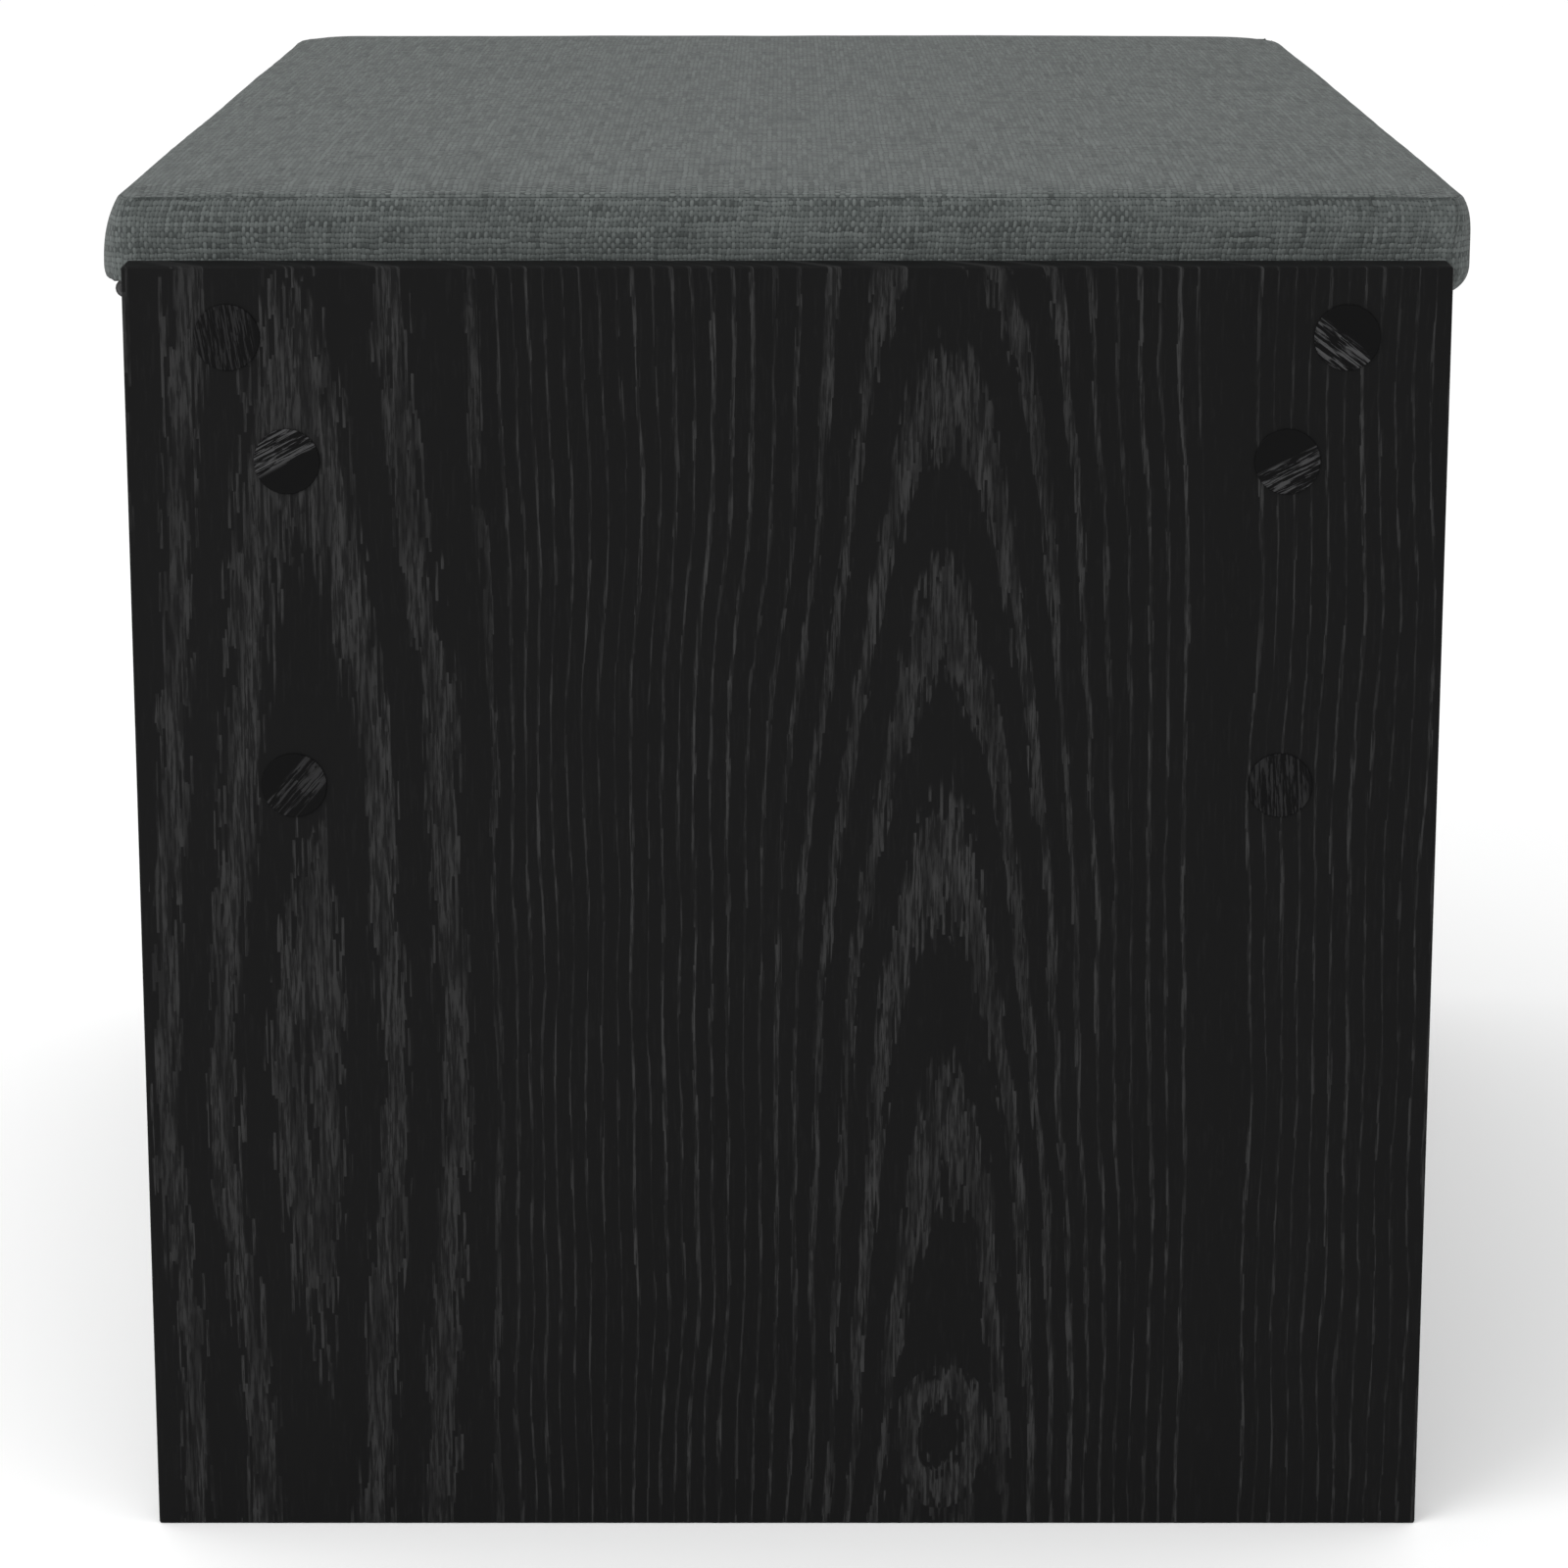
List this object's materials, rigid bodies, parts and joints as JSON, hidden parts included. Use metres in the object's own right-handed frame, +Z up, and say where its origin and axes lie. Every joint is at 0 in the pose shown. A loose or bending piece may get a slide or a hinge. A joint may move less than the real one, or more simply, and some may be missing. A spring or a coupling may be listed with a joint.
{
  "type": "storage bench",
  "caption": "Low storage bench: two black oak-look side panels, an open shoe space, a storage box and a grey upholstered lid that flips up.",
  "frame": {"origin": "on the floor under the middle of the bench", "axes": "+X along the bench, from its left end to its right end seen from the front; -Y to the front, where the lid opens; +Z up"},
  "size_m": [0.6214, 0.44, 0.448],
  "materials": {
    "black_oak_board": "black oak-look melamine facing, fine raised pores, satin",
    "cap_foil": "black oak-look self-adhesive foil, slightly glossier than the boards",
    "hardboard": "black painted thin hardboard, matt",
    "raw_board": "bare pressed board",
    "foam": "polyurethane foam, open cells",
    "grey_cloth": "mid-grey linen-look plain weave with lighter and darker threads",
    "black_nonwoven": "thin black spun-bonded dust cloth",
    "zinc_steel": "bright zinc-plated steel",
    "black_steel": "black satin lacquer on steel",
    "rubber": "black matt rubber"
  },
  "bodies": {
    "frame": {"side_panel_left": "black_oak_board", "side_panel_right": "black_oak_board", "top_rail_front": "black_oak_board", "top_rail_back": "black_oak_board", "front_board": "black_oak_board", "back_board": "black_oak_board", "box_bottom": "hardboard", "connector_left_rail_front": "zinc_steel", "connector_left_front_upper": "zinc_steel", "connector_left_front_lower": "zinc_steel", "connector_left_rail_back": "zinc_steel", "connector_left_back_upper": "zinc_steel", "connector_left_back_lower": "zinc_steel", "connector_right_rail_front": "zinc_steel", "connector_right_front_upper": "zinc_steel", "connector_right_front_lower": "zinc_steel", "connector_right_rail_back": "zinc_steel", "connector_right_back_upper": "zinc_steel", "connector_right_back_lower": "zinc_steel", "cover_cap_left_rail_front": "cap_foil", "cover_cap_left_front_upper": "cap_foil", "cover_cap_left_front_lower": "cap_foil", "cover_cap_left_rail_back": "cap_foil", "cover_cap_left_back_upper": "cap_foil", "cover_cap_left_back_lower": "cap_foil", "cover_cap_right_rail_front": "cap_foil", "cover_cap_right_front_upper": "cap_foil", "cover_cap_right_front_lower": "cap_foil", "cover_cap_right_rail_back": "cap_foil", "cover_cap_right_back_upper": "cap_foil", "cover_cap_right_back_lower": "cap_foil", "bumper_left": "rubber", "bumper_right": "rubber", "hinge_frame_leaf_left": "black_steel", "hinge_pin_left": "black_steel", "frame_leaf_screw_left_outer": "black_steel", "frame_leaf_screw_left_inner": "black_steel", "stay_guide_screw_left": "zinc_steel", "hinge_frame_leaf_right": "black_steel", "hinge_pin_right": "black_steel", "frame_leaf_screw_right_outer": "black_steel", "frame_leaf_screw_right_inner": "black_steel", "stay_guide_screw_right": "zinc_steel"},
    "lid": {"lid_board": "raw_board", "lid_foam": "foam", "lid_cover": "grey_cloth", "lid_dust_sheet": "black_nonwoven", "hinge_lid_leaf_left": "black_steel", "lid_leaf_screw_left_outer": "black_steel", "lid_leaf_screw_left_inner": "black_steel", "stay_bracket_left": "zinc_steel", "stay_rivet_left": "zinc_steel", "hinge_lid_leaf_right": "black_steel", "lid_leaf_screw_right_outer": "black_steel", "lid_leaf_screw_right_inner": "black_steel", "stay_bracket_right": "zinc_steel", "stay_rivet_right": "zinc_steel"},
    "stay_arm_left": {"stay_arm_left": "zinc_steel"},
    "stay_arm_right": {"stay_arm_right": "zinc_steel"}
  },
  "joints": [
    {"name": "lid_hinge", "type": "hinge", "parent": "frame", "child": "lid", "pos_m": [0, 0.2136, 0.4115], "axis": [-1, 0, 0], "range_deg": [0, 90]},
    {"name": "stay_pivot_left", "type": "hinge", "parent": "lid", "child": "stay_arm_left", "pos_m": [-0.28975, 0.11401, 0.4025], "axis": [-1, 0, 0], "range_deg": [-46, 0]},
    {"name": "stay_pivot_right", "type": "hinge", "parent": "lid", "child": "stay_arm_right", "pos_m": [0.28975, 0.11401, 0.4025], "axis": [-1, 0, 0], "range_deg": [-46, 0]}
  ],
  "couplings": [
    {"joint": "stay_pivot_left", "follows": "lid_hinge", "ratio": -0.5},
    {"joint": "stay_pivot_right", "follows": "lid_hinge", "ratio": -0.5}
  ]
}
